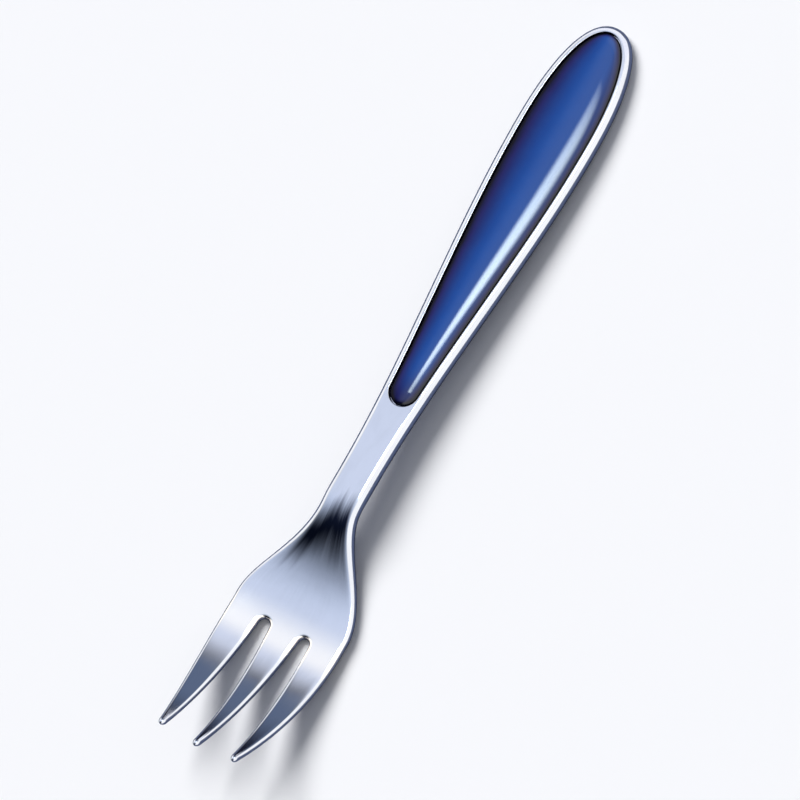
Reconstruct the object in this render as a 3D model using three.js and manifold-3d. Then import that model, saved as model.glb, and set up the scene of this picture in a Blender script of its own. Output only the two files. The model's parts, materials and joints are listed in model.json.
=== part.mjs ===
// Dessert fork: a formed steel fork with a teardrop pocket in its handle, and a domed blue inlay that is
// bonded into the pocket. Millimetres, +Z up.
//
// The fork is laid out with X along it, from the handle's end to the tine tips, Y across it, and Z up from
// the middle of the straight handle. The finished fork is then leaned over until its belly and the handle's
// end stand on Z = 0.

import * as THREE from "three";
import { mergeVertices } from "three/addons/utils/BufferGeometryUtils.js";
import Module from "manifold-3d";

// Lengths along the fork, one after the other from the handle's end to the middle tine's tip
const END_LENGTH = 22.2; // rounded end, up to the handle's widest place
const TAPER_LENGTH = 71; // handle narrowing to the neck
const NECK_LENGTH = 6.5; // parallel neck
const FLARE_LENGTH = 21; // neck widening to the head's widest place
const HEAD_LENGTH = 29.3; // widest place to the tip

// Widths across the fork
const HANDLE_WIDTH = 16.6;
const NECK_WIDTH = 7.7;
const HEAD_WIDTH = 23.8;
const END_BLUNTNESS = 5.6; // how far the handle's end runs straight across, each way
const END_SHOULDER = 13.5; // how far the widest place runs straight along, towards the end

// Tines and the slots between them
const TINE_LENGTH = 27; // middle tip back to the round ends of the slots
const OUTER_TINE_SETBACK = 0.6; // outer tips lie this far behind the middle one
const TIP_SPREAD = 15.6; // from one outer tip to the other
const TIP_WIDTH = 1.5;
const SLOT_SPACING = 8.6; // from slot to slot at their round ends
const SLOT_WIDTH = 2.4; // at the round ends
const FLANK_BELLY = 11; // how far the outer tine's flank runs straight along before it turns in

// Steel, thickest in the handle and thinnest at the tips
const HANDLE_THICKNESS = 3;
const HEAD_THICKNESS = 1.9;
const TIP_THICKNESS = 1.3;
const EDGE_ROUND = 0.47; // radius of the edges as a share of the thickness, so that they are almost full round

// Side view: straight handle, a bend down to the belly, then one sweep up to the tips
const BEND_LEAD = 2; // the bend starts this far before the neck flares
const BEND_LENGTH = 24;
const BEND_DROP = 6.9;
const SWEEP_RADIUS = 45;
const DISH_RADIUS = 80; // hollow across the head

// Pocket in the handle, and what is bonded into it
const RIM_WIDTH = 1.5; // steel left standing round the pocket
const POCKET_END_AT = 79.3; // from the handle's end to the pocket's far end
const POCKET_END_ROUND = 2.9; // length of the pocket's rounded far end
const POCKET_DEPTH = 1.8;
const ADHESIVE_THICKNESS = 0.2;
const ADHESIVE_GAP = 0.05; // clearance on each face of the adhesive
const ADHESIVE_MARGIN = 0.6; // the adhesive stops this far short of the pocket's wall
const INLAY_CLEARANCE = 0.2; // between the inlay and the pocket's wall
const INLAY_EDGE_DROP = 0.25; // the inlay's edge lies this far below the rim
const INLAY_CROWN = 1.3; // rise from the inlay's edge to its middle, at its widest
const INLAY_EDGE_RADIUS = 0.35;

// Facets
const END_STEPS = 12;
const TAPER_STEPS = 16;
const FLARE_STEPS = 16;
const SLOT_STEPS = 3;
const FLANK_STEPS = 11;
const TIP_STEPS = 4;
const POCKET_END_STEPS = 6;
const ROUND_STEPS = 3; // facets in each rounded edge
const TINE_CELLS = 3; // facets across one tine, an odd number so that the belly stands on a flat one
const INLAY_CELLS = 10; // facets across the inlay
const MERGE_DISTANCE = 1e-4;
const SLOPE_STEP = 0.01; // step in X over which a slope is measured
const SQUARENESS = 1e-3; // a normal this close to an axis lies along it

const { lerp, smoothstep } = THREE.MathUtils;
const wasm = await Module();
wasm.setup();

// Stations along the fork
const widestAt = END_LENGTH;
const neckAt = widestAt + TAPER_LENGTH;
const flareAt = neckAt + NECK_LENGTH;
const headAt = flareAt + FLARE_LENGTH;
const tipAt = headAt + HEAD_LENGTH;
const slotAt = tipAt - TINE_LENGTH;
const outerTipAt = tipAt - OUTER_TINE_SETBACK;
const bendAt = flareAt - BEND_LEAD;
const bellyAt = bendAt + BEND_LENGTH;

// Levels in the handle
const rimTop = HANDLE_THICKNESS / 2;
const pocketFloor = rimTop - POCKET_DEPTH;
const adhesiveFloor = pocketFloor + ADHESIVE_GAP;
const inlayFloor = adhesiveFloor + ADHESIVE_THICKNESS + ADHESIVE_GAP;
const inlayEdge = rimTop - INLAY_EDGE_DROP;

// Half the fork's width from the handle's widest place to the head's
function halfWidth(x) {
  const taper = (HANDLE_WIDTH - NECK_WIDTH) / 2;
  const flare = (HEAD_WIDTH - NECK_WIDTH) / 2;
  return HANDLE_WIDTH / 2 - taper * smoothstep(x, widestAt, neckAt) + flare * smoothstep(x, flareAt, headAt);
}

// Height of the middle of the steel along the centre line. The bend is tightest where it leaves the handle,
// eases off along the head and reaches the belly with the curvature of the sweep.
function midHeight(x) {
  if (x <= bendAt) return 0;
  if (x >= bellyAt) {
    return SWEEP_RADIUS - BEND_DROP - Math.sqrt(SWEEP_RADIUS ** 2 - (x - bellyAt) ** 2);
  }
  const u = (x - bendAt) / BEND_LENGTH;
  const lift = (BEND_LENGTH ** 2 / SWEEP_RADIUS) * (u ** 3 / 2 - u ** 4 + u ** 5 / 2);
  return lift - BEND_DROP * (6 * u ** 2 - 8 * u ** 3 + 3 * u ** 4);
}

// Hollow across the head: nothing in the neck, full where the head is widest
function dish(x, y) {
  return (smoothstep(x, flareAt, headAt) * y ** 2) / (2 * DISH_RADIUS);
}

function thickness(x) {
  const thinned = lerp(HANDLE_THICKNESS, HEAD_THICKNESS, smoothstep(x, neckAt, headAt));
  return lerp(thinned, TIP_THICKNESS, smoothstep(x, headAt, tipAt));
}

// Half the steel's thickness, measured straight up where the fork slopes
function halfThickness(x) {
  const slope = (midHeight(x + SLOPE_STEP) - midHeight(x - SLOPE_STEP)) / (2 * SLOPE_STEP);
  return (thickness(x) / 2) * Math.hypot(1, slope);
}

const steelTop = (x, y) => midHeight(x) + dish(x, y) + halfThickness(x);
const steelBottom = (x, y) => midHeight(x) + dish(x, y) - halfThickness(x);

// A part of a unit normal, with one that is nearly nothing taken as nothing
const squared = (value) => (Math.abs(value) < SQUARENESS ? 0 : value);

// Points along an edge, each with the unit normal that points into the material.
// side is 1 where the material lies towards -Y as the edge runs forward, and -1 where it lies towards +Y.
function edgePoints(curve, steps, side) {
  return Array.from({ length: steps + 1 }, (_, i) => {
    const point = curve.getPoint(i / steps);
    const tangent = curve.getTangent(i / steps);
    return { x: point.x, y: point.y, nx: squared(tangent.y * side), ny: squared(-tangent.x * side) };
  });
}

// The same edge on the other side of the centre line
const mirrored = (edge) => edge.map(({ x, y, nx, ny }) => ({ x, y: -y, nx, ny: -ny }));

// Edges joined end to end, with the shared point of each pair kept once
const chained = (...edges) => edges.flatMap((edge, i) => (i === 0 ? edge : edge.slice(1)));

// A curve through the points of y(x)
class GraphCurve extends THREE.Curve {
  constructor(height, from, to) {
    super();
    this.height = height;
    this.from = from;
    this.to = to;
  }

  getPoint(u) {
    const x = lerp(this.from, this.to, u);
    return new THREE.Vector2(x, this.height(x));
  }
}

// One cross-section between two edge points: a top row, a rounded edge, a bottom row, a rounded edge
function crossSection(left, right, cells, radius, top, bottom) {
  const inset = (edge, reach) => ({ x: edge.x + edge.nx * reach, y: edge.y + edge.ny * reach });
  const from = inset(left, radius);
  const to = inset(right, radius);
  const row = Array.from({ length: cells + 1 }, (_, k) => ({
    x: lerp(from.x, to.x, k / cells),
    y: lerp(from.y, to.y, k / cells),
  }));
  const rounded = (edge) => {
    const angles = Array.from({ length: ROUND_STEPS }, (_, i) => ((i + 1) / ROUND_STEPS) * (Math.PI / 2));
    const places = angles.map((angle) => ({
      ...inset(edge, radius * (1 - Math.sin(angle))),
      drop: radius * (1 - Math.cos(angle)),
    }));
    const upper = places.map(({ x, y, drop }) => new THREE.Vector3(x, y, top(x, y) - drop));
    const lower = places.map(({ x, y, drop }) => new THREE.Vector3(x, y, bottom(x, y) + drop));
    return [...upper, ...lower.reverse()];
  };
  return {
    top: row.map(({ x, y }) => new THREE.Vector3(x, y, top(x, y))),
    right: rounded(right),
    bottom: row.map(({ x, y }) => new THREE.Vector3(x, y, bottom(x, y))),
    left: rounded(left),
  };
}

// The closed loop of a cross-section's points
function loop({ top, right, bottom, left }) {
  return [...top, ...right, ...bottom.slice().reverse(), ...left.slice().reverse()];
}

// Cross-sections that lie side by side, as one
function sideBySide(sections) {
  const joined = (name) => sections.flatMap((section, i) => (i === 0 ? section[name] : section[name].slice(1)));
  return { top: joined("top"), right: sections.at(-1).right, bottom: joined("bottom"), left: sections[0].left };
}

// Triangles of the skin that runs through a row of cross-sections
function skin(sections) {
  const loops = sections.map(loop);
  const corners = [];
  for (let i = 0; i + 1 < loops.length; i++) {
    const [near, far] = [loops[i], loops[i + 1]];
    for (let k = 0; k < near.length; k++) {
      const next = (k + 1) % near.length;
      corners.push(near[k], far[next], near[next]);
      corners.push(near[k], far[k], far[next]);
    }
  }
  return corners;
}

// A closed geometry from triangle corners, with shared corners merged and empty triangles left out
function closedGeometry(corners) {
  const loose = new THREE.BufferGeometry().setFromPoints(corners);
  const merged = mergeVertices(loose, MERGE_DISTANCE);
  const index = merged.index.array;
  const kept = [];
  for (let i = 0; i < index.length; i += 3) {
    const [a, b, c] = index.slice(i, i + 3);
    if (a !== b && b !== c && c !== a) kept.push(a, b, c);
  }
  merged.setIndex(kept);
  return merged;
}

function toSolid(geometry) {
  const bare = geometry.clone();
  bare.deleteAttribute("normal");
  bare.deleteAttribute("uv");
  const merged = mergeVertices(bare, MERGE_DISTANCE);
  const vertProperties = new Float32Array(merged.attributes.position.array);
  const triVerts = new Uint32Array(merged.index.array);
  return new wasm.Manifold(new wasm.Mesh({ numProp: 3, vertProperties, triVerts }));
}

function toGeometry(solid) {
  const { vertProperties, triVerts } = solid.getMesh();
  const geometry = new THREE.BufferGeometry();
  geometry.setAttribute("position", new THREE.BufferAttribute(vertProperties, 3));
  geometry.setIndex(new THREE.BufferAttribute(triVerts, 1));
  return geometry;
}

// The handle's rounded end: straight across at the very end, straight along at the widest place
const endCurve = new THREE.CubicBezierCurve(
  new THREE.Vector2(0, 0),
  new THREE.Vector2(0, END_BLUNTNESS),
  new THREE.Vector2(widestAt - END_SHOULDER, HANDLE_WIDTH / 2),
  new THREE.Vector2(widestAt, HANDLE_WIDTH / 2),
);

// Right edge of the handle, neck and head, up to the slots' round ends
function shankEdge() {
  const end = edgePoints(endCurve, END_STEPS, 1);
  const taper = edgePoints(new GraphCurve(halfWidth, widestAt, neckAt), TAPER_STEPS, 1);
  const flare = edgePoints(new GraphCurve(halfWidth, neckAt, slotAt), FLARE_STEPS, 1);
  return chained(end, taper, flare);
}

// Quarter of a slot's round end, from its middle to its side. side is 1 for the slot side nearer +Y.
function slotQuarter(side) {
  const radius = SLOT_WIDTH / 2;
  const quarter = new THREE.EllipseCurve(
    slotAt + radius, SLOT_SPACING / 2, radius, radius, Math.PI, Math.PI - (side * Math.PI) / 2, side > 0,
  );
  return edgePoints(quarter, SLOT_STEPS, -side);
}

// Quarter of a rounded tip, from its flank to its point. side is 1 for the flank nearer +Y.
function tipQuarter(at, y, side) {
  const radius = TIP_WIDTH / 2;
  const quarter = new THREE.EllipseCurve(at - radius, y, radius, radius, (side * Math.PI) / 2, 0, side > 0);
  return edgePoints(quarter, TIP_STEPS, side);
}

// Straight flank of a tine, from the side of a slot's round end to its tip
function straightFlank(slotSide, at, y, side) {
  const radius = SLOT_WIDTH / 2;
  const from = new THREE.Vector2(slotAt + radius, SLOT_SPACING / 2 + slotSide * radius);
  const to = new THREE.Vector2(at - TIP_WIDTH / 2, y + (side * TIP_WIDTH) / 2);
  return edgePoints(new THREE.LineCurve(from, to), FLANK_STEPS, side);
}

// Edges of the middle tine
function middleTineEdges() {
  const right = chained(slotQuarter(-1), straightFlank(-1, tipAt, 0, 1), tipQuarter(tipAt, 0, 1));
  return { left: mirrored(right), right };
}

// Edges of the outer tine on the +Y side. Its flank goes on from the head's outline and turns in to the tip.
function outerTineEdges() {
  const tipY = TIP_SPREAD / 2;
  const inner = chained(slotQuarter(1), straightFlank(1, outerTipAt, tipY, -1), tipQuarter(outerTipAt, tipY, -1));
  const flankAt = slotAt + SLOT_WIDTH / 2;
  const flank = new THREE.QuadraticBezierCurve(
    new THREE.Vector2(flankAt, halfWidth(flankAt)),
    new THREE.Vector2(flankAt + FLANK_BELLY, halfWidth(flankAt)),
    new THREE.Vector2(outerTipAt - TIP_WIDTH / 2, tipY + TIP_WIDTH / 2),
  );
  const outer = chained(
    edgePoints(new GraphCurve(halfWidth, slotAt, flankAt), SLOT_STEPS, 1),
    edgePoints(flank, FLANK_STEPS, 1),
    tipQuarter(outerTipAt, tipY, 1),
  );
  return { left: inner, right: outer };
}

// One cross-section of the steel, with edges that are rounder where it is thicker
function steelSection(left, right, cells) {
  return crossSection(left, right, cells, EDGE_ROUND * thickness(right.x), steelTop, steelBottom);
}

// Cross-sections of one tine, from the slots' round ends to its tip
function tineSections({ left, right }) {
  return left.map((edge, i) => steelSection(edge, right[i], TINE_CELLS));
}

// The whole fork in steel, before its pocket is sunk
function forkBlank() {
  const outer = outerTineEdges();
  const tines = [
    tineSections({ left: mirrored(outer.right), right: mirrored(outer.left) }),
    tineSections(middleTineEdges()),
    tineSections(outer),
  ];
  const right = shankEdge().slice(0, -1);
  const left = mirrored(right);
  const cells = TINE_CELLS * tines.length;
  const shank = right.map((edge, i) => steelSection(left[i], edge, cells));
  const roots = sideBySide(tines.map((sections) => sections[0]));
  return closedGeometry([...skin([...shank, roots]), ...tines.flatMap(skin)]);
}

// Right edge of the pocket, drawn in by a margin: it keeps the rim's width from the handle's outline, then
// closes in a rounded far end
function pocketEdge(margin) {
  const offset = RIM_WIDTH + margin;
  const roundAt = POCKET_END_AT - POCKET_END_ROUND;
  const inset = ({ x, y, nx, ny }) => ({ x: x + nx * offset, y: y + ny * offset, nx, ny });
  const end = edgePoints(endCurve, END_STEPS, 1).map(inset);
  const side = edgePoints(new GraphCurve(halfWidth, widestAt, roundAt), TAPER_STEPS, 1).map(inset);
  const { x, y } = side.at(-1);
  const round = new THREE.EllipseCurve(x, 0, POCKET_END_AT - margin - x, y, Math.PI / 2, 0, true);
  return chained(end, side, edgePoints(round, POCKET_END_STEPS, 1));
}

// The pocket's outline, drawn in by a margin, as a shape
function pocketShape(margin) {
  const right = pocketEdge(margin);
  const left = mirrored(right).slice(1, -1).reverse();
  return new THREE.Shape([...right, ...left].map(({ x, y }) => new THREE.Vector2(x, y)));
}

function forkBody() {
  const depth = POCKET_DEPTH + HANDLE_THICKNESS;
  const cutter = new THREE.ExtrudeGeometry(pocketShape(0), { depth, bevelEnabled: false });
  cutter.translate(0, 0, pocketFloor);
  return toGeometry(toSolid(forkBlank()).subtract(toSolid(cutter)));
}

// The inlay: flat underneath, upright at its edge and crowned above, with the crown fading to its two ends
function handleInlay() {
  const right = pocketEdge(INLAY_CLEARANCE);
  const left = mirrored(right);
  const widest = Math.max(...right.map(({ y }) => y));
  const sections = right.map((edge, i) => {
    const crown = (INLAY_CROWN * edge.y) / widest;
    const top = (x, y) => inlayEdge + (edge.y > 0 ? crown * (1 - (y / edge.y) ** 2) : 0);
    return crossSection(left[i], edge, INLAY_CELLS, INLAY_EDGE_RADIUS, top, () => inlayFloor);
  });
  return closedGeometry(skin(sections));
}

function inlayAdhesive() {
  const film = { depth: ADHESIVE_THICKNESS, bevelEnabled: false };
  const geometry = new THREE.ExtrudeGeometry(pocketShape(ADHESIVE_MARGIN), film);
  geometry.translate(0, 0, adhesiveFloor);
  return geometry;
}

const steel = new THREE.MeshStandardMaterial({ color: 0xd5d3e0, roughness: 0.16, metalness: 1 });
const acrylic = new THREE.MeshStandardMaterial({ color: 0x1f4ea3, roughness: 0.08, metalness: 0 });
const bond = new THREE.MeshStandardMaterial({ color: 0xd9d2b8, roughness: 0.5, metalness: 0 });

function piece(name, geometry, material) {
  const mesh = new THREE.Mesh(geometry, material);
  mesh.name = name;
  return mesh;
}

const fork = new THREE.Group();
fork.add(piece("fork_body", forkBody(), steel));
fork.add(piece("handle_inlay", handleInlay(), acrylic));
fork.add(piece("inlay_adhesive", inlayAdhesive(), bond));

// Set the fork down: the line from the handle's end that just touches the belly becomes the table
const heelAt = EDGE_ROUND * HANDLE_THICKNESS; // where the end's rounding meets the flat back
const heel = steelBottom(heelAt, 0);
const corners = fork.getObjectByName("fork_body").geometry.getAttribute("position");
const slopes = [];
for (let i = 0; i < corners.count; i++) {
  const x = corners.getX(i);
  if (x > flareAt) slopes.push((corners.getZ(i) - heel) / (x - heelAt));
}
fork.rotation.y = Math.atan(Math.min(...slopes));

const part = new THREE.Group();
part.add(fork);
const box = new THREE.Box3().setFromObject(part, true);
const middle = box.getCenter(new THREE.Vector3());
fork.position.set(-middle.x, -middle.y, -box.min.z);

export default part;
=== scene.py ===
"""A dessert fork of polished steel, with a domed blue inlay in its handle.

The steel is modelled as such a fork is made: a flat blank is drawn out with its
slots, pressed in a die, given its thickness, sunk for the inlay and rounded at
its edges. While it is made, X runs from the handle's end to the tine tips, Y
across it and Z up from the middle of the straight handle. The finished pieces
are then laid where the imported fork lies. All sizes are in metres.
"""

import json
import logging
import math
from collections.abc import Callable, Iterable, Iterator, Sequence
from contextlib import contextmanager
from dataclasses import dataclass
from enum import Enum

import bmesh
import bpy
from mathutils import Matrix, Vector
from mathutils.kdtree import KDTree


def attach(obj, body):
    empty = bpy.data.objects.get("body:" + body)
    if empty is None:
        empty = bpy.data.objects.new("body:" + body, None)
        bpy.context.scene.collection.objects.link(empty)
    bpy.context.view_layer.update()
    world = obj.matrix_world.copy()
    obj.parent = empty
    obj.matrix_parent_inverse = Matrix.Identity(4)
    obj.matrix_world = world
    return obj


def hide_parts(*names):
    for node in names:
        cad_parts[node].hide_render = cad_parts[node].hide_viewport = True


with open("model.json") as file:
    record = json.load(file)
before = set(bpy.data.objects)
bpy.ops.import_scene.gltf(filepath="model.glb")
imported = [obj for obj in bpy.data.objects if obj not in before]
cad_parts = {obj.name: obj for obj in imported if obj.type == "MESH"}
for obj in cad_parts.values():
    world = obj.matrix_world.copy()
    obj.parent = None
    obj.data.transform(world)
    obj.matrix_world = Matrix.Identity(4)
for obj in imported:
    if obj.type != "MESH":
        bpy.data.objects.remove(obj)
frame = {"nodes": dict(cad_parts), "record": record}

MM = 0.001
NUDGE = 1e-4  # share of a curve over which its direction is measured
SAME_PLACE = 1e-6  # points closer than this are one point
ON_LINE = 1e-5  # a point closer than this to a point of a line lies on it
RISING = (0.0, 1.0)
FALLING = (1.0, 0.0)
MIX_FIRST, MIX_SECOND, MIX_RESULT = 6, 7, 2  # the colour sockets of a mix node
UNIT_EDGE = 0.5  # where the edges of a grid or panel one metre across lie, from its middle
FACING_UP = 0.5  # a face whose normal rises more than this faces up
LOG = logging.getLogger("dessert_fork")

Place = tuple[float, float]
Row = list[Place]
Span = tuple[float, float]
Curve = Callable[[float], Place]
Colour = tuple[float, float, float]
Direction = tuple[float, float, float]
Piece = bpy.types.Object
Socket = bpy.types.NodeSocket
Inputs = dict[str | int, object]


class Slot(Enum):
    """The record's material slots."""

    STEEL = "polished_steel"
    ACRYLIC = "blue_acrylic"


class MaterialSide(Enum):
    """On which side of a line the material lies, as the line runs towards the tips."""

    TOWARDS_LEFT = 1
    TOWARDS_RIGHT = -1


class Change(Enum):
    """How a value changes from one end of a ramp to the other."""

    SMOOTH = "SMOOTHSTEP"
    EVEN = "LINEAR"


@dataclass(frozen=True)
class EdgePoint:
    """A point of an outline, with the unit normal that points into the material."""

    x: float
    y: float
    nx: float
    ny: float

    def drawn_in(self, reach: float) -> "EdgePoint":
        """The point that lies this far into the material."""
        return EdgePoint(self.x + self.nx * reach, self.y + self.ny * reach, self.nx, self.ny)

    def mirrored(self) -> "EdgePoint":
        """The same point on the other side of the fork."""
        return EdgePoint(self.x, -self.y, self.nx, -self.ny)

    @property
    def place(self) -> Place:
        """Where the point is."""
        return (self.x, self.y)


Edge = list[EdgePoint]


def smooth_ramp(value: float, low: float, high: float) -> float:
    """A ramp from 0 at low to 1 at high, level at both ends."""
    share = min(max((value - low) / (high - low), 0.0), 1.0)
    return share * share * (3 - 2 * share)


def blended(low: float, high: float, share: float) -> float:
    """The value at a share of the way from low to high."""
    return low + (high - low) * share


def between(start: Place, end: Place, share: float) -> Place:
    """The place at a share of the way from start to end."""
    return (blended(start[0], end[0], share), blended(start[1], end[1], share))


def arc(centre: Place, radii: Span, start: float, end: float) -> Curve:
    """An arc of an ellipse.

    Args:
        centre: The ellipse's centre.
        radii: Its radii along X and Y.
        start: The angle at which the arc starts, in radians.
        end: The angle at which it ends.

    Returns:
        The curve.
    """

    def at(share: float) -> Place:
        """The place at a share of the arc."""
        angle = blended(start, end, share)
        return (centre[0] + radii[0] * math.cos(angle), centre[1] + radii[1] * math.sin(angle))

    return at


def bezier(*controls: Place) -> Curve:
    """A Bezier curve of any degree.

    Args:
        controls: The control points, from the curve's start to its end.

    Returns:
        The curve.
    """

    def at(share: float) -> Place:
        """The place at a share of the curve.

        Args:
            share: The share.

        Returns:
            The place.
        """
        points = list(controls)
        while len(points) > 1:
            points = [between(start, end, share) for start, end in zip(points, points[1:])]
        return points[0]

    return at


def trace(curve: Curve, steps: int, material: MaterialSide) -> Edge:
    """Evenly stepped points along a curve.

    Args:
        curve: The curve.
        steps: How many steps it is cut into.
        material: The side on which the material lies.

    Returns:
        The points, each with its normal into the material.
    """
    points = []
    for step in range(steps + 1):
        share = step / steps
        (x0, y0), (x1, y1) = curve(share - NUDGE), curve(share + NUDGE)
        run = math.hypot(x1 - x0, y1 - y0)
        across, along = (y1 - y0) / run, (x1 - x0) / run
        points.append(EdgePoint(*curve(share), across * material.value, -along * material.value))
    return points


def chained(*edges: Edge) -> Edge:
    """Edges joined end to end, with the point that two of them share kept once."""
    first, *others = edges
    return first + [point for edge in others for point in edge[1:]]


def mirrored(edge: Edge) -> Edge:
    """The same edge on the other side of the fork."""
    return [point.mirrored() for point in edge]


def both_sides(edge: Edge) -> Row:
    """The places of an edge and of the same edge on the other side of the fork."""
    return [point.place for point in edge + mirrored(edge)]


def distance_to(places: Sequence[Place]) -> Callable[[Vector], float]:
    """A measure of how far a point lies from some places, seen from above.

    Args:
        places: The places.

    Returns:
        A function that gives a point's distance from the nearest of them.
    """
    tree = KDTree(len(places))
    for index, (x, y) in enumerate(places):
        tree.insert((x, y, 0), index)
    tree.balance()
    return lambda point: tree.find((point.x, point.y, 0))[2]


def lies_on(places: Sequence[Place]) -> Callable[[bmesh.types.BMEdge], bool]:
    """A test of whether both ends of an edge lie on some places, seen from above."""
    distance = distance_to(places)
    return lambda edge: all(distance(vertex.co) < ON_LINE for vertex in edge.verts)


def pick(*pieces: Piece) -> None:
    """Selects some pieces alone, and makes the first of them the active one.

    Args:
        pieces: The pieces, or none to deselect everything.
    """
    bpy.ops.object.select_all(action="DESELECT")
    for piece in pieces:
        piece.select_set(True)
    if pieces:
        bpy.context.view_layer.objects.active = pieces[0]


@contextmanager
def edit_mode(piece: Piece) -> Iterator[bmesh.types.BMesh]:
    """Puts one piece into edit mode with nothing selected, and back into object mode afterwards.

    Args:
        piece: The piece to edit.

    Yields:
        The piece's mesh, for selecting by place.
    """
    pick(piece)
    bpy.ops.object.mode_set(mode="EDIT")
    bpy.ops.mesh.select_mode(type="EDGE")
    bpy.ops.mesh.select_all(action="DESELECT")
    mesh = bmesh.from_edit_mesh(piece.data)
    mesh.faces.ensure_lookup_table()
    yield mesh
    bpy.ops.object.mode_set(mode="OBJECT")


def pick_edges(
    piece: Piece, mesh: bmesh.types.BMesh, wanted: Callable[[bmesh.types.BMEdge], bool]
) -> None:
    """Selects the edges of a piece in edit mode that pass a test, and no others.

    Args:
        piece: The piece.
        mesh: Its mesh in edit mode.
        wanted: The test.
    """
    bpy.ops.mesh.select_mode(type="EDGE")
    bpy.ops.mesh.select_all(action="DESELECT")
    for edge in mesh.edges:
        edge.select_set(wanted(edge))
    flush(piece, mesh)


def flush(piece: Piece, mesh: bmesh.types.BMesh) -> None:
    """Hands a selection made in code to the operators."""
    mesh.select_flush_mode()
    bmesh.update_edit_mesh(piece.data)


def turn_outwards() -> None:
    """Turns all faces of the piece in edit mode outwards."""
    bpy.ops.mesh.select_all(action="SELECT")
    bpy.ops.mesh.normals_make_consistent(inside=False)


def merge_points() -> None:
    """Merges the points of the piece in edit mode that share a place."""
    bpy.ops.mesh.select_all(action="SELECT")
    bpy.ops.mesh.remove_doubles(threshold=SAME_PLACE)


def apply_modifier(piece: Piece, kind: str, **settings: object) -> None:
    """Adds a modifier to a piece and applies it.

    Args:
        piece: The piece.
        kind: The modifier's type.
        settings: Values for the modifier's properties.
    """
    modifier = piece.modifiers.new(kind.title(), kind)
    for name, value in settings.items():
        setattr(modifier, name, value)
    bpy.context.view_layer.objects.active = piece
    bpy.ops.object.modifier_apply(modifier=modifier.name)


def shade_smoothly(piece: Piece) -> None:
    """Shades a piece smoothly, with its larger faces kept flat.

    Args:
        piece: The piece.
    """
    pick(piece)
    bpy.ops.object.shade_smooth()
    apply_modifier(piece, "WEIGHTED_NORMAL", mode="FACE_AREA_WITH_ANGLE", keep_sharp=False)


def drawn_strip(name: str, rows: Sequence[Row]) -> Piece:
    """A flat strip of quads: a grid that is drawn out until its rows run through given points.

    Args:
        name: The strip's name.
        rows: The points of each row across the strip, all rows with as many points.

    Returns:
        The strip.
    """
    across, along = len(rows[0]) - 1, len(rows) - 1
    pick()
    bpy.ops.mesh.primitive_grid_add(x_subdivisions=across, y_subdivisions=along, size=1)
    strip = bpy.context.object
    strip.name = name
    for vertex in strip.data.vertices:
        column = round((vertex.co.x + UNIT_EDGE) * across)
        row = round((vertex.co.y + UNIT_EDGE) * along)
        vertex.co = (*rows[row][column], 0)
    return strip


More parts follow.
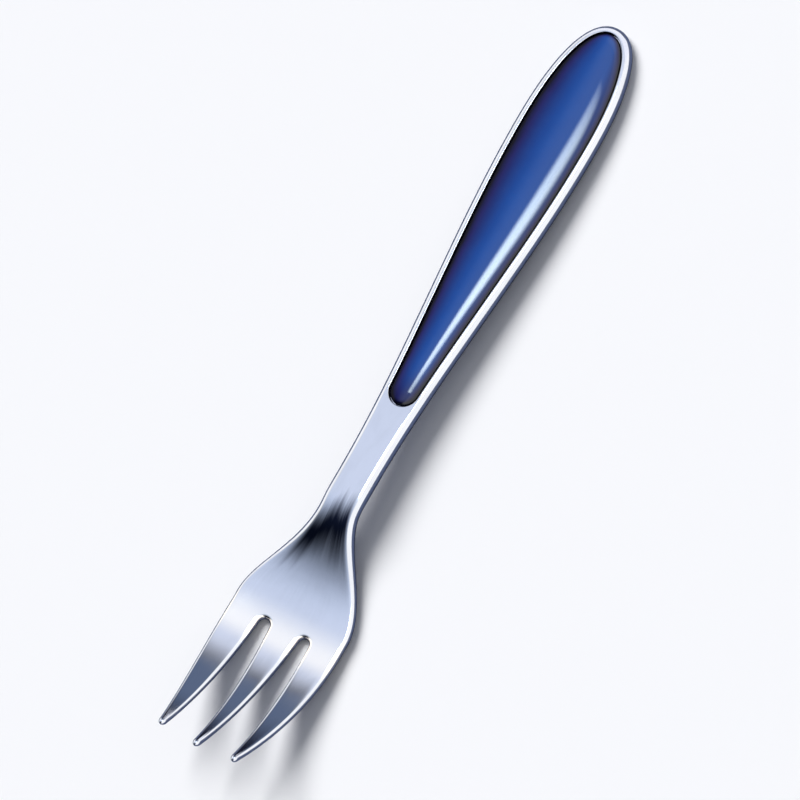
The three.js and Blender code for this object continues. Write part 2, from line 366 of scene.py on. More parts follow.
@dataclass(frozen=True)
class ForkPlan:
    """The fork's outline seen from above."""

    end_length: float = 22.2 * MM
    taper_length: float = 71 * MM
    neck_length: float = 6.5 * MM
    flare_length: float = 21 * MM
    head_length: float = 29.3 * MM
    handle_width: float = 16.6 * MM
    neck_width: float = 7.7 * MM
    head_width: float = 23.8 * MM
    end_bluntness: float = 5.6 * MM
    end_shoulder: float = 13.5 * MM
    tine_length: float = 27 * MM
    outer_tine_setback: float = 0.6 * MM
    tip_spread: float = 15.6 * MM
    tip_width: float = 1.5 * MM
    slot_spacing: float = 8.6 * MM
    slot_width: float = 2.4 * MM
    flank_belly: float = 11 * MM
    root_lead: float = 1.2 * MM  # the outer tines are drawn from this far before the slots
    rim_width: float = 1.5 * MM
    pocket_end_at: float = 79.3 * MM
    pocket_end_round: float = 2.9 * MM
    end_steps: int = 36
    side_steps: int = 70
    pocket_end_steps: int = 13
    slot_steps: int = 7
    flank_steps: int = 44
    tip_steps: int = 8

    @property
    def neck_at(self) -> float:
        """Where the taper ends and the neck starts."""
        return self.end_length + self.taper_length

    @property
    def flare_at(self) -> float:
        """Where the neck starts to widen."""
        return self.neck_at + self.neck_length

    @property
    def head_at(self) -> float:
        """Where the head is first at its widest."""
        return self.flare_at + self.flare_length

    @property
    def tip_at(self) -> float:
        """The middle tine's tip."""
        return self.head_at + self.head_length

    @property
    def slot_at(self) -> float:
        """The round ends of the slots."""
        return self.tip_at - self.tine_length

    @property
    def pocket_side_end(self) -> float:
        """Where the pocket's sides turn into its rounded far end."""
        return self.pocket_end_at - self.pocket_end_round

    def half_width(self, x: float) -> float:
        """Half the fork's width, past the handle's rounded end.

        Args:
            x: The place along the fork.

        Returns:
            Half the width there.
        """
        taper = (self.handle_width - self.neck_width) / 2
        flare = (self.head_width - self.neck_width) / 2
        narrowed = self.handle_width / 2 - taper * smooth_ramp(x, self.end_length, self.neck_at)
        return narrowed + flare * smooth_ramp(x, self.flare_at, self.head_at)

    def side(self, low: float, high: float, steps: int) -> Edge:
        """The fork's right side between two places along it.

        Args:
            low: Where the edge starts.
            high: Where it ends.
            steps: How many steps it is cut into.

        Returns:
            The edge.
        """

        def at(share: float) -> Place:
            """The place at a share of the edge."""
            x = blended(low, high, share)
            return (x, self.half_width(x))

        return trace(at, steps, MaterialSide.TOWARDS_LEFT)

    def handle_end(self) -> Edge:
        """The right half of the handle's rounded end.

        Returns:
            The edge, from the middle of the fork outwards.
        """
        half = self.handle_width / 2
        shoulder_at = self.end_length - self.end_shoulder
        curve = bezier((0, 0), (0, self.end_bluntness), (shoulder_at, half), (self.end_length, half))
        return trace(curve, self.end_steps, MaterialSide.TOWARDS_LEFT)

    def handle_side(self) -> Edge:
        """The right side of the handle, from its end to where the pocket rounds off."""
        return chained(self.handle_end(), self.side(self.end_length, self.pocket_side_end, self.side_steps))

    def pocket_edge(self, margin: float = 0.0) -> Edge:
        """The right side of the pocket.

        Args:
            margin: How far the edge is drawn in from the pocket's own wall.

        Returns:
            The edge, from the handle's end to the pocket's far end.
        """
        side = [point.drawn_in(self.rim_width + margin) for point in self.handle_side()]
        last = side[-1]
        radii = (self.pocket_end_at - margin - last.x, last.y)
        far_end = arc((last.x, 0), radii, math.pi / 2, 0)
        return chained(side, trace(far_end, self.pocket_end_steps, MaterialSide.TOWARDS_LEFT))

    def slot_end(self, material: MaterialSide) -> Edge:
        """A quarter of a slot's round end, from its middle to its side.

        Args:
            material: The side on which the material lies.

        Returns:
            The edge.
        """
        radius = self.slot_width / 2
        centre = (self.slot_at + radius, self.slot_spacing / 2)
        turn = material.value * math.pi / 2
        return trace(arc(centre, (radius, radius), math.pi, math.pi + turn), self.slot_steps, material)

    def tine_tip(self, at: float, y: float, material: MaterialSide) -> Edge:
        """A quarter of a rounded tip, from its flank to its point.

        Args:
            at: Where the tip ends.
            y: The tip's middle across the fork.
            material: The side on which the material lies.

        Returns:
            The edge.
        """
        radius = self.tip_width / 2
        start = material.value * math.pi / 2
        return trace(arc((at - radius, y), (radius, radius), start, 0), self.tip_steps, material)

    def inner_edge(self, at: float, y: float, material: MaterialSide) -> Edge:
        """A tine's edge along a slot, from the middle of the slot's round end to the tip.

        Args:
            at: Where the tip ends.
            y: The tip's middle across the fork.
            material: The side on which the material lies.

        Returns:
            The edge.
        """
        turned = material.value
        radius = self.slot_width / 2
        start = (self.slot_at + radius, self.slot_spacing / 2 - turned * radius)
        end = (at - self.tip_width / 2, y + turned * self.tip_width / 2)
        flank = trace(bezier(start, end), self.flank_steps, material)
        return chained(self.slot_end(material), flank, self.tine_tip(at, y, material))

    def middle_tine(self) -> tuple[Edge, Edge]:
        """The left and right edges of the middle tine."""
        right = self.inner_edge(self.tip_at, 0, MaterialSide.TOWARDS_LEFT)
        return mirrored(right), right

    def right_tine(self) -> tuple[Edge, Edge]:
        """The outer tine on the right.

        Returns:
            Its left and right edges.
        """
        at, y = self.tip_at - self.outer_tine_setback, self.tip_spread / 2
        left = self.inner_edge(at, y, MaterialSide.TOWARDS_RIGHT)
        flank_at = self.slot_at + self.slot_width / 2
        flank = bezier(
            (flank_at, self.half_width(flank_at)),
            (flank_at + self.flank_belly, self.half_width(flank_at)),
            (at - self.tip_width / 2, y + self.tip_width / 2),
        )
        right = chained(
            self.side(self.slot_at - self.root_lead, flank_at, self.slot_steps),
            trace(flank, self.flank_steps, MaterialSide.TOWARDS_LEFT),
            self.tine_tip(at, y, MaterialSide.TOWARDS_LEFT),
        )
        return left, right


@dataclass(frozen=True)
class FormingDie:
    """The die that presses the flat blank: a bend, a sweep up to the tips and a hollow across the head."""

    plan: ForkPlan
    bend_lead: float = 2 * MM
    bend_length: float = 24 * MM
    bend_drop: float = 6.9 * MM
    sweep_radius: float = 45 * MM
    dish_radius: float = 80 * MM
    overhang: float = 4 * MM
    points_along: int = 64
    points_across: int = 25

    @property
    def bend_at(self) -> float:
        """Where the bend starts."""
        return self.plan.flare_at - self.bend_lead

    def lift(self, x: float, y: float) -> float:
        """How far the die lifts a point of the blank.

        Args:
            x: The point's place along the fork.
            y: Its place across the fork.

        Returns:
            The lift, below nothing where the die pushes down.
        """
        hollow = smooth_ramp(x, self.plan.flare_at, self.plan.head_at) * y * y / (2 * self.dish_radius)
        return hollow + self.side_view(x)

    def side_view(self, x: float) -> float:
        """The pressed blank's centre line: level, then an even bend, then an arc up to the tips.

        Args:
            x: The place along the fork.

        Returns:
            The line's height there.
        """
        belly_at = self.bend_at + self.bend_length
        if x <= self.bend_at:
            return 0.0
        if x >= belly_at:
            return self.sweep_radius - self.bend_drop - math.sqrt(self.sweep_radius**2 - (x - belly_at) ** 2)
        u = (x - self.bend_at) / self.bend_length
        meet_sweep = self.bend_length**2 / self.sweep_radius * (u**3 / 2 - u**4 + u**5 / 2)
        return meet_sweep - self.bend_drop * (6 * u**2 - 8 * u**3 + 3 * u**4)

    def press(self, blank: Piece) -> None:
        """Presses a flat blank into shape with a lattice.

        Args:
            blank: The flat blank.
        """
        low, high = self.bend_at - self.overhang, self.plan.tip_at + self.overhang
        wide = self.plan.head_width + 2 * self.overhang
        pick()
        bpy.ops.object.add(type="LATTICE", location=((low + high) / 2, 0, 0))
        die = bpy.context.object
        die.scale = (high - low, wide, wide)
        die.data.points_u, die.data.points_v = self.points_along, self.points_across
        bpy.context.view_layer.update()
        for point in die.data.points:
            place = die.matrix_world @ point.co
            point.co_deform.z += self.lift(place.x, place.y) / wide
        apply_modifier(blank, "LATTICE", object=die)
        bpy.data.objects.remove(die)


@dataclass(frozen=True)
class Seat:
    """Where the finished pieces lie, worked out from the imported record's handle back."""

    back_at: float = 40 * MM  # from the handle's end to the mount's point
    back_below: float = 1.5 * MM  # from the middle of the handle down to its back

    def matrix(self) -> Matrix:
        """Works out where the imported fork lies.

        Returns:
            The matrix that lays a piece there.
        """
        mount = next(m for m in frame["record"]["mounts"] if m["name"] == "handle_back")
        outward = Vector(mount["axis"])
        lean = Matrix.Rotation(-math.atan2(outward.x, -outward.z), 4, "Y")
        start = Vector(mount["pos_m"]) - lean @ Vector((self.back_at, 0, -self.back_below))
        return Matrix.Translation(start) @ lean

    def lay(self, piece: Piece) -> None:
        """Lays a piece in its place, with the place in its mesh.

        Args:
            piece: The piece.
        """
        pick(piece)
        piece.matrix_world = self.matrix()
        bpy.ops.object.transform_apply(location=True, rotation=True, scale=True)


@dataclass(frozen=True)
class NodeBench:
    """Places and links the nodes of one tree."""

    tree: bpy.types.NodeTree

    def plug(self, node: bpy.types.Node, inputs: Inputs) -> None:
        """Fills the input sockets of a node.

        Args:
            node: The node.
            inputs: Values, or sockets to link, for its input sockets.
        """
        for name, value in inputs.items():
            socket = node.inputs[name]
            if isinstance(value, Socket):
                self.tree.links.new(value, socket)
            elif socket.type == "RGBA":
                socket.default_value = (*value, 1)
            else:
                socket.default_value = value

    def add(self, kind: str, inputs: Inputs | None = None, **settings: object) -> bpy.types.Node:
        """Adds a node.

        Args:
            kind: The node's type.
            inputs: Values, or sockets to link, for the node's input sockets.
            settings: Values for the node's properties.

        Returns:
            The node.
        """
        node = self.tree.nodes.new(kind)
        for name, value in settings.items():
            setattr(node, name, value)
        self.plug(node, inputs or {})
        return node

    def math(self, operation: str, first: object, second: object = 0.0) -> Socket:
        """The result of a sum on one or two values or sockets."""
        return self.add("ShaderNodeMath", {0: first, 1: second}, operation=operation).outputs[0]

    def product(self, first: object, *others: object) -> Socket:
        """The product of some values or sockets.

        Args:
            first: The first of them.
            others: The others.

        Returns:
            The product.
        """
        for other in others:
            first = self.math("MULTIPLY", first, other)
        return first

    def ramp(self, value: object, span: Span, ends: Span = RISING, change: Change = Change.SMOOTH) -> Socket:
        """A value that follows another.

        Args:
            value: The value or socket that it follows.
            span: From and to where the other value counts.
            ends: The new value at the span's two ends.
            change: How it changes between them.

        Returns:
            The new value.
        """
        (low, high), (start, end) = span, ends
        inputs = {"Value": value, "From Min": low, "From Max": high, "To Min": start, "To Max": end}
        return self.add("ShaderNodeMapRange", inputs, interpolation_type=change.value).outputs[0]

    def mix(self, share: object, first: object, second: object) -> Socket:
        """A colour between two colours or sockets."""
        inputs = {0: share, MIX_FIRST: first, MIX_SECOND: second}
        return self.add("ShaderNodeMix", inputs, data_type="RGBA").outputs[MIX_RESULT]

    def noise(self, place: Socket, detail: float, roughness: float, distortion: float = 0.0) -> Socket:
        """Cloudy noise, with clouds about a unit across.

        Args:
            place: Where each point lies.
            detail: How many finer clouds lie on the large ones.
            roughness: How strong the finer ones are.
            distortion: How far the clouds are twisted.

        Returns:
            A value from 0 to 1.
        """
        inputs = {"Vector": place, "Scale": 1.0, "Detail": detail, "Roughness": roughness}
        return self.add("ShaderNodeTexNoise", {**inputs, "Distortion": distortion}).outputs["Fac"]

    def scaled(self, place: Socket, spacing: Socket) -> Socket:
        """A place counted in steps of some spacing."""
        inputs = {0: place, "Scale": self.math("DIVIDE", 1.0, spacing)}
        return self.add("ShaderNodeVectorMath", inputs, operation="SCALE").outputs[0]

    def effect(self, group: bpy.types.NodeTree, place: Socket, spacing: float) -> Socket:
        """What one of the shared surface effects puts out, at its own spacing."""
        return self.add("ShaderNodeGroup", {"Vector": place, "Spacing": spacing}, node_tree=group).outputs[0]

    def noted(self, name: str, output: str) -> Socket:
        """What was noted on the points of the piece under a name."""
        return self.add("ShaderNodeAttribute", attribute_name=name).outputs[output]

    def place(self) -> Socket:
        """Where each point lies along the piece's own axes."""
        return self.add("ShaderNodeTexCoord").outputs["Object"]

    def axes(self, place: Socket) -> tuple[Socket, Socket, Socket]:
        """The three coordinates of a place."""
        split = self.add("ShaderNodeSeparateXYZ", {"Vector": place})
        return split.outputs["X"], split.outputs["Y"], split.outputs["Z"]

    def mirrored_ray(self) -> Socket:
        """1 for what a polished surface mirrors, and 0 for what is seen itself."""
        return self.add("ShaderNodeLightPath").outputs["Is Glossy Ray"]

    def emboss(self, shader: bpy.types.Node, depth: Socket) -> None:
        """Gives a shader's surface a relief of this depth in metres."""
        bump = self.add("ShaderNodeBump", {"Height": depth, "Distance": 1.0, "Strength": 1.0})
        self.plug(shader, {"Normal": bump.outputs[0]})


class EffectGroups:
    """The surface effects that more than one finish uses, each built once."""

    SCRATCH_TURNS = (0.32, -0.55)  # the directions of the scratches, in radians
    SCRATCH_SHIFTS = (0.0, 7.3)  # these set the scratches of the two directions apart
    SCRATCH_STRETCH = (0.035, 1, 0.3)
    SCRATCH_SPAN = (0.68, 0.74)  # where the noise rises to this, the surface is scratched
    MARK_SPAN = (0.35, 0.7)

    def __init__(self) -> None:
        """Builds the groups."""
        self.hairlines = self._hairlines()
        self.handling = self._handling()

    @staticmethod
    def _group(name: str, output: str) -> tuple[NodeBench, Socket, Socket]:
        """An empty group with its sockets.

        Args:
            name: The group's name.
            output: The name of its one output.

        Returns:
            A bench on the group, and its inputs: a place and a spacing.
        """
        group = bpy.data.node_groups.new(name, "ShaderNodeTree")
        group.interface.new_socket("Vector", in_out="INPUT", socket_type="NodeSocketVector")
        group.interface.new_socket("Spacing", in_out="INPUT", socket_type="NodeSocketFloat")
        group.interface.new_socket(output, in_out="OUTPUT", socket_type="NodeSocketFloat")
        bench = NodeBench(group)
        given = bench.add("NodeGroupInput")
        return bench, given.outputs["Vector"], given.outputs["Spacing"]

    def _hairlines(self) -> bpy.types.NodeTree:
        """Fine scratches from use, in two directions.

        Returns:
            A group that puts out 1 in a scratch and 0 elsewhere.
        """
        bench, place, spacing = self._group("hairlines", "Scratch")
        scratches = []
        for turn, shift in zip(self.SCRATCH_TURNS, self.SCRATCH_SHIFTS):
            inputs = {"Rotation": (0, 0, turn), "Location": (shift, shift, 0), "Scale": self.SCRATCH_STRETCH}
            turned = bench.add("ShaderNodeMapping", {"Vector": place, **inputs}).outputs[0]
            noise = bench.noise(bench.scaled(turned, spacing), detail=3.0, roughness=0.6)
            scratches.append(bench.ramp(noise, self.SCRATCH_SPAN))
        bench.add("NodeGroupOutput", {"Scratch": bench.math("MAXIMUM", *scratches)})
        return bench.tree

    def _handling(self) -> bpy.types.NodeTree:
        """Faint cloudy marks from handling and wiping.

        Returns:
            A group that puts out a value from 0 to 1.
        """
        bench, place, spacing = self._group("handling", "Mark")
        cloud = bench.noise(bench.scaled(place, spacing), detail=4.0, roughness=0.55, distortion=0.4)
        bench.add("NodeGroupOutput", {"Mark": bench.ramp(cloud, self.MARK_SPAN)})
        return bench.tree


def new_material(name: str) -> tuple[bpy.types.Material, NodeBench, bpy.types.Node]:
    """A material with an empty shader.

    Args:
        name: The material's name.

    Returns:
        The material, a bench on its nodes and its shader.
    """
    material = bpy.data.materials.new(name)
    material.use_nodes = True
    shader = next(node for node in material.node_tree.nodes if node.type == "BSDF_PRINCIPLED")
    return material, NodeBench(material.node_tree), shader


def bare_material(name: str) -> tuple[bpy.types.Material, NodeBench]:
    """A material without any nodes.

    Args:
        name: The material's name.

    Returns:
        The material and a bench on its nodes.
    """
    material = bpy.data.materials.new(name)
    material.use_nodes = True
    material.node_tree.nodes.clear()
    return material, NodeBench(material.node_tree)


def dress(piece: Piece, material: bpy.types.Material) -> None:
    """Gives a piece one material all over."""
    piece.data.materials.clear()
    piece.data.materials.append(material)


@dataclass(frozen=True)
class PolishedSteel:
    """Stainless steel with a bright polish, which still shows the lines it was drawn and polished along."""

    # Its colour holds a painted highlight at the tines' roots and a painted dark reflection at the bend.
    colour: Colour = (0.645, 0.655, 0.74)
    dulled: Colour = (0.57, 0.58, 0.66)
    # painted highlight: the bright tone painted across the tines' roots
    bright: Colour = (0.96, 0.90, 0.86)
    # painted dark reflection: the near black tone of the streaks that fan out at the bend
    fan_reflection_tone: Colour = (0.012, 0.016, 0.035)
    roughness: Span = (0.09, 0.22)  # where it is bright, and where it is worn dull
    dull_span: Span = (0.1, 1.0)
    dull_share: float = 0.5  # what marks, lines and scratches each add to the dullness
    line_length: float = 26 * MM
    line_spacing: float = 0.28 * MM
    line_depth: float = 0.0022 * MM
    root_highlight_in: Span = (118.5 * MM, 125 * MM)  # painted highlight: the roots of the tines are painted brightest
    root_highlight_out: Span = (125.5 * MM, 129.5 * MM)
    fan_reflection_in: Span = (95.5 * MM, 101.5 * MM)  # a painted dark reflection fans out in streaks on the upper face at the bend
    fan_reflection_out: Span = (102.5 * MM, 109.5 * MM)
    fan_reflection_lag: float = 1.8 * MM  # some of its streaks start and end this much later
    lag_span: Span = (0.35, 0.65)
    fan_reflection_side: float = 5.2 * MM  # this far to the left of the middle its streaks start and end
    fan_reflection_late: float = 4 * MM  # this much later
    fan_reflection_edge: Span = (5.2 * MM, 6.6 * MM)  # and they stop at the rounded edges
    fan_streak_length: float = 40 * MM
    fan_streak_spacing: float = 1.5 * MM
    scratch_spacing: float = 0.5 * MM
    scratch_depth: float = 0.0012 * MM
    mark_spacing: float = 9 * MM

    def material(self, groups: EffectGroups) -> bpy.types.Material:
        """The finish as a material.

        Args:
            groups: The shared surface effects.

        Returns:
            The material.
        """
        material, bench, shader = new_material("polished_steel")
        blank = bench.noted("blank_place", "Vector")
        lines = self._lines(bench, blank, self.line_length, self.line_spacing)
        scratch = bench.effect(groups.hairlines, blank, self.scratch_spacing)
        mark = bench.effect(groups.handling, blank, self.mark_spacing)
        worn = bench.math("ADD", bench.math("ADD", mark, lines), scratch)
        inputs = {
            "Base Color": self._tone(bench, blank, bench.product(mark, lines)),
            "Roughness": bench.ramp(bench.product(worn, self.dull_share), self.dull_span, self.roughness),
            "Metallic": 1.0,
        }
        bench.plug(shader, inputs)
        scratched = bench.product(scratch, self.scratch_depth)
        bench.emboss(shader, bench.math("SUBTRACT", bench.product(lines, self.line_depth), scratched))
        return material

    def _tone(self, bench: NodeBench, blank: Socket, wiped: Socket) -> Socket:
        """The steel's colour, with a painted highlight at the tines' roots and a painted dark reflection
        fanning out at the bend.

        Args:
            bench: The bench on the material's nodes.
            blank: Where each point lay in the blank.
            wiped: How much the polish is wiped dull.

        Returns:
            The colour.
        """
        along = bench.axes(blank)[0]
        tone = bench.mix(wiped, self.colour, self.dulled)
        # painted highlight across the tines' roots
        rise, fall = bench.ramp(along, self.root_highlight_in), bench.ramp(along, self.root_highlight_out, FALLING)
        tone = bench.mix(bench.product(rise, fall), tone, self.bright)
        # painted dark reflection at the bend, on the upper face only
        return bench.mix(self._painted_fan_reflection(bench, blank), tone, self.fan_reflection_tone)

    @staticmethod
    def _lines(bench: NodeBench, blank: Socket, length: float, spacing: float) -> Socket:
        """Fine lines along the steel.

        Args:
            bench: The bench on the material's nodes.
            blank: Where each point lay in the blank.
            length: How long the lines run.
            spacing: How far apart they lie.

        Returns:
            A value from 0 to 1.
        """
        scale = (1 / length, 1 / spacing, 1 / spacing)
        along = bench.add("ShaderNodeMapping", {"Vector": blank, "Scale": scale}).outputs[0]
        return bench.noise(along, detail=4.0, roughness=0.6)

    def _painted_fan_reflection(self, bench: NodeBench, blank: Socket) -> Socket:
        """The painted dark reflection that fans out in streaks on the upper face at the bend.

        Args:
            bench: The bench on the material's nodes.
            blank: Where each point lay in the blank.

        Returns:
            A value that is 1 where the painted dark reflection is darkest.
        """
        along, across, height = bench.axes(blank)
        lines = self._lines(bench, blank, self.fan_streak_length, self.fan_streak_spacing)
        lag = bench.ramp(lines, self.lag_span, (self.fan_reflection_lag, 0.0))
        late = bench.ramp(across, (-self.fan_reflection_side, 0.0), (self.fan_reflection_late, 0.0))
        along = bench.math("SUBTRACT", bench.math("SUBTRACT", along, lag), late)
        return bench.product(
            bench.ramp(along, self.fan_reflection_in),
            bench.ramp(along, self.fan_reflection_out, FALLING),
            bench.ramp(bench.math("ABSOLUTE", across), self.fan_reflection_edge, FALLING),
            bench.math("GREATER_THAN", height, 0.0),
        )


@dataclass(frozen=True)
class BlueAcrylic:
    """Glossy blue acrylic. Painted light gathers on the right of its dome, and painted shade keeps the left
    deep.

    Its spans across run from -1 at the left edge to 1 at the right one.
    """

    # painted shade and painted light: the tones run from near black through dusk to the lit blue
    deep: Colour = (0.002, 0.002, 0.008)
    dusk: Colour = (0.012, 0.013, 0.095)
    lit: Colour = (0.012, 0.076, 0.34)
    dusk_at: float = 0.2  # the share of the painted light at which the deep tone has turned to dusk
    painted_wall_shade: Span = (0.0, 1.1 * MM)  # how far the painted shade of the pocket's wall reaches in
    # painted shade at the left edge, rising to painted light towards the right
    painted_light_across: Span = (-1.12, 0.2)
    # painted shade near the right edge, past the highlight stripe
    painted_dim_across: Span = (0.55, 0.85)
    dimmed: float = 0.5
    painted_end_shade_along: Span = (-5 * MM, 5 * MM)  # the narrow end lies deep in the pocket, and painted shade keeps it dark
    end_dimmed: float = 0.15
    gloss_across: Span = (-0.2, 0.4)
    gloss: Span = (0.15, 1.0)
    roughness: Span = (0.4, 0.5)
    coat_roughness: float = 0.05
    coat_index: float = 1.49
    mark_spacing: float = 6 * MM
    mark_share: float = 0.05  # the share of the light that marks of handling take
    scratch_spacing: float = 0.7 * MM
    scratch_depth: float = 0.0006 * MM

    def material(self, groups: EffectGroups) -> bpy.types.Material:
        """The finish as a material.

        Args:
            groups: The shared surface effects.

        Returns:
            The material.
        """
        material, bench, shader = new_material("blue_acrylic")
        place = bench.place()
        across = bench.noted("across", "Fac")
        mark = bench.effect(groups.handling, place, self.mark_spacing)
        scratch = bench.effect(groups.hairlines, place, self.scratch_spacing)
        inputs = {
            "Base Color": self._tone(bench, place, across, mark),
            "Roughness": bench.ramp(mark, RISING, self.roughness),
            "Specular IOR Level": 0.0,
            "Coat Weight": bench.ramp(across, self.gloss_across, self.gloss),
            "Coat Roughness": self.coat_roughness,
            "Coat IOR": self.coat_index,
        }
        bench.plug(shader, inputs)
        bench.emboss(shader, bench.product(scratch, -self.scratch_depth))
        return material

    def _tone(self, bench: NodeBench, place: Socket, across: Socket, mark: Socket) -> Socket:
        """The acrylic's colour, from deep to lit, with painted shade and painted light.

        Args:
            bench: The bench on the material's nodes.
            place: Where each point lies.
            across: Where it lies across the inlay.
            mark: The marks of handling.

        Returns:
            The colour.
        """
        # painted light and shade: across the dome, by the pocket's wall, near the right edge and at the
        # narrow end
        light = bench.product(
            bench.ramp(across, self.painted_light_across),
            bench.ramp(bench.noted("from_wall", "Fac"), self.painted_wall_shade),
            bench.ramp(across, self.painted_dim_across, (1.0, self.dimmed)),
            bench.ramp(bench.axes(place)[0], self.painted_end_shade_along, (1.0, self.end_dimmed)),
        )
        light = bench.math("SUBTRACT", light, bench.product(mark, self.mark_share))
        tone = bench.add("ShaderNodeValToRGB", {"Fac": light})
        stops = tone.color_ramp.elements
        stops[0].color = (*self.deep, 1)
        stops[1].color = (*self.lit, 1)
        stops.new(self.dusk_at).color = (*self.dusk, 1)
        return tone.outputs[0]


@dataclass(frozen=True)
class CuredBond:
    """The adhesive under the inlay, cloudy and pale."""

    colour: Colour = (0.70, 0.66, 0.52)
    clouded: Colour = (0.58, 0.53, 0.40)
    roughness: Span = (0.45, 0.6)
    cloud_spacing: float = 4 * MM
    ripple: float = 0.02 * MM

    def material(self, groups: EffectGroups) -> bpy.types.Material:
        """The finish as a material.

        Args:
            groups: The shared surface effects.

        Returns:
            The material.
        """
        material, bench, shader = new_material("cured_bond")
        cloud = bench.effect(groups.handling, bench.place(), self.cloud_spacing)
        inputs = {
            "Base Color": bench.mix(cloud, self.colour, self.clouded),
            "Roughness": bench.ramp(cloud, RISING, self.roughness),
        }
        bench.plug(shader, inputs)
        bench.emboss(shader, bench.product(cloud, self.ripple))
        return material


@dataclass(frozen=True)
class SteelFork:
    """The fork's one piece of steel."""

    plan: ForkPlan
    die: FormingDie
    seat: Seat
    handle_thickness: float = 3 * MM
    head_thickness: float = 1.9 * MM
    tip_thickness: float = 1.3 * MM
    pocket_depth: float = 1.8 * MM
    edge_round: float = 0.47  # the edges' radius as a share of the thickness: almost full round
    edge_columns: int = 5
    rim_radius: float = 0.18 * MM
    throat_length: float = 2 * MM  # plain steel between the pocket and the first row across the handle
    throat_steps: int = 8
    throat_reach: float = 1.2 * MM  # from the edge to the flat there, to leave room for the rim's rounding
    shank_gap: float = 2.4 * MM  # the last plain row across the head lies this far before the slots
    shank_steps: int = 66
    outer_cells: int = 8
    middle_cells: int = 10
    round_segments: int = 4

    def build(self) -> Piece:
        """Makes the steel.

        Returns:
            The finished piece, in its place.
        """
        steel = self._flat_blank()
        self.die.press(steel)
        self._thicken(steel)
        self._sink_pocket(steel)
        self._note_blank_places(steel)
        self.seat.lay(steel)
        shade_smoothly(steel)
        return steel

    @property
    def throat_end(self) -> float:
        """Where the first row lies that crosses the whole handle."""
        return self.plan.pocket_end_at + self.throat_length

    def thickness(self, x: float) -> float:
        """The steel's thickness, which falls from the handle to the tips.

        Args:
            x: The place along the fork.

        Returns:
            The thickness there.
        """
        plan = self.plan
        neck_share = smooth_ramp(x, plan.neck_at, plan.head_at)
        thinned = blended(self.handle_thickness, self.head_thickness, neck_share)
        return blended(thinned, self.tip_thickness, smooth_ramp(x, plan.head_at, plan.tip_at))

    def _reaches(self, x: float) -> list[float]:
        """How far the columns of quads that round an edge off lie from it.

        Args:
            x: The place along the fork.

        Returns:
            The distances, from the edge inwards.
        """
        radius = self.edge_round * self.thickness(x)
        turns = [column / self.edge_columns * math.pi / 2 for column in range(self.edge_columns + 1)]
        return [radius * (1 - math.cos(turn)) for turn in turns]

    def _half_height(self, x: float, reach: float) -> float:
        """Half the steel's height, which falls towards its rounded edge.

        Args:
            x: The place along the fork.
            reach: How far from the edge.

        Returns:
            Half the height there.
        """
        thickness = self.thickness(x)
        radius = self.edge_round * thickness
        short = max(radius - reach, 0.0)
        return thickness / 2 - radius + math.sqrt(radius * radius - short * short)

    def _row_between(self, left: EdgePoint, right: EdgePoint, cells: int) -> Row:
        """The points across a tine between two points of its edges.

        Args:
            left: The point of the left edge.
            right: The point of the right edge.
            cells: How many quads lie between the two rounded edges.

        Returns:
            The points, from left to right.
        """
        lefts = [left.drawn_in(reach).place for reach in self._reaches(left.x)]
        rights = [right.drawn_in(reach).place for reach in self._reaches(right.x)]
        inner = [between(lefts[-1], rights[-1], cell / cells) for cell in range(1, cells)]
        return [*lefts, *inner, *reversed(rights)]

    def _tine_rows(self) -> list[list[Row]]:
        """The rows of the tines, from the slots' round ends to the tips.

        Returns:
            The rows of the left, the middle and the right tine.
        """
        left_edge, right_edge = self.plan.right_tine()
        tines = [
            (mirrored(right_edge), mirrored(left_edge), self.outer_cells),
            (*self.plan.middle_tine(), self.middle_cells),
            (left_edge, right_edge, self.outer_cells),
        ]
        return [
            [self._row_between(left, right, cells) for left, right in zip(lefts, rights)]
            for lefts, rights, cells in tines
        ]

    def _root_row(self, tines: Sequence[Sequence[Row]]) -> Row:
        """The row that the three tines start from, which passes before the slots' round ends.

        Args:
            tines: The rows of the three tines.

        Returns:
            The row.
        """
        left, middle, right = (rows[0] for rows in tines)
        edge = self.edge_columns
        return left[:-edge] + middle[edge + 1 : -edge] + right[edge + 1 :]

    def _shank_rows(self, roots: Row) -> list[Row]:
        """The rows across the fork from the handle to the slots.

        Args:
            roots: The last row, which the tines start from.

        Returns:
            The rows.
        """
        edge = self.edge_columns
        widest = roots[-edge - 1][1]
        shares = [y / widest for _, y in roots[edge + 1 : -edge - 1]]
        rows = []
        for point in self.plan.side(self.throat_end, self.plan.slot_at - self.shank_gap, self.shank_steps):
            rights = [point.drawn_in(reach).place for reach in self._reaches(point.x)]
            x, y = rights[-1]
            lefts = [(right_x, -right_y) for right_x, right_y in rights]
            rows.append([*lefts, *((x, y * share) for share in shares), *reversed(rights)])
        return [*rows, roots]

    def _rim_rows(self) -> list[Row]:
        """The rows across the rim round the pocket.

        Returns:
            The rows, from its left side to its right one.
        """
        right = self.plan.handle_side()
        reaches = [*self._reaches(0.0)[:-1], self.plan.rim_width]
        whole = mirrored(right)[:0:-1] + right
        return [[point.drawn_in(reach).place for reach in reaches] for point in whole]

    def _throat_rows(self) -> list[list[Row]]:
        """The rows of the rounded edges beside the pocket's far end.

        Returns:
            The rows on the right, and those on the left.
        """
        right = self.plan.side(self.plan.pocket_side_end, self.throat_end, self.throat_steps)
        *outer, full = self._reaches(self.throat_end)
        inner = [self.plan.rim_width, *[self.throat_reach] * (self.throat_steps - 1), full]
        return [
            [[point.drawn_in(reach).place for reach in (*outer, last)] for point, last in zip(side, inner)]
            for side in (right, mirrored(right))
        ]

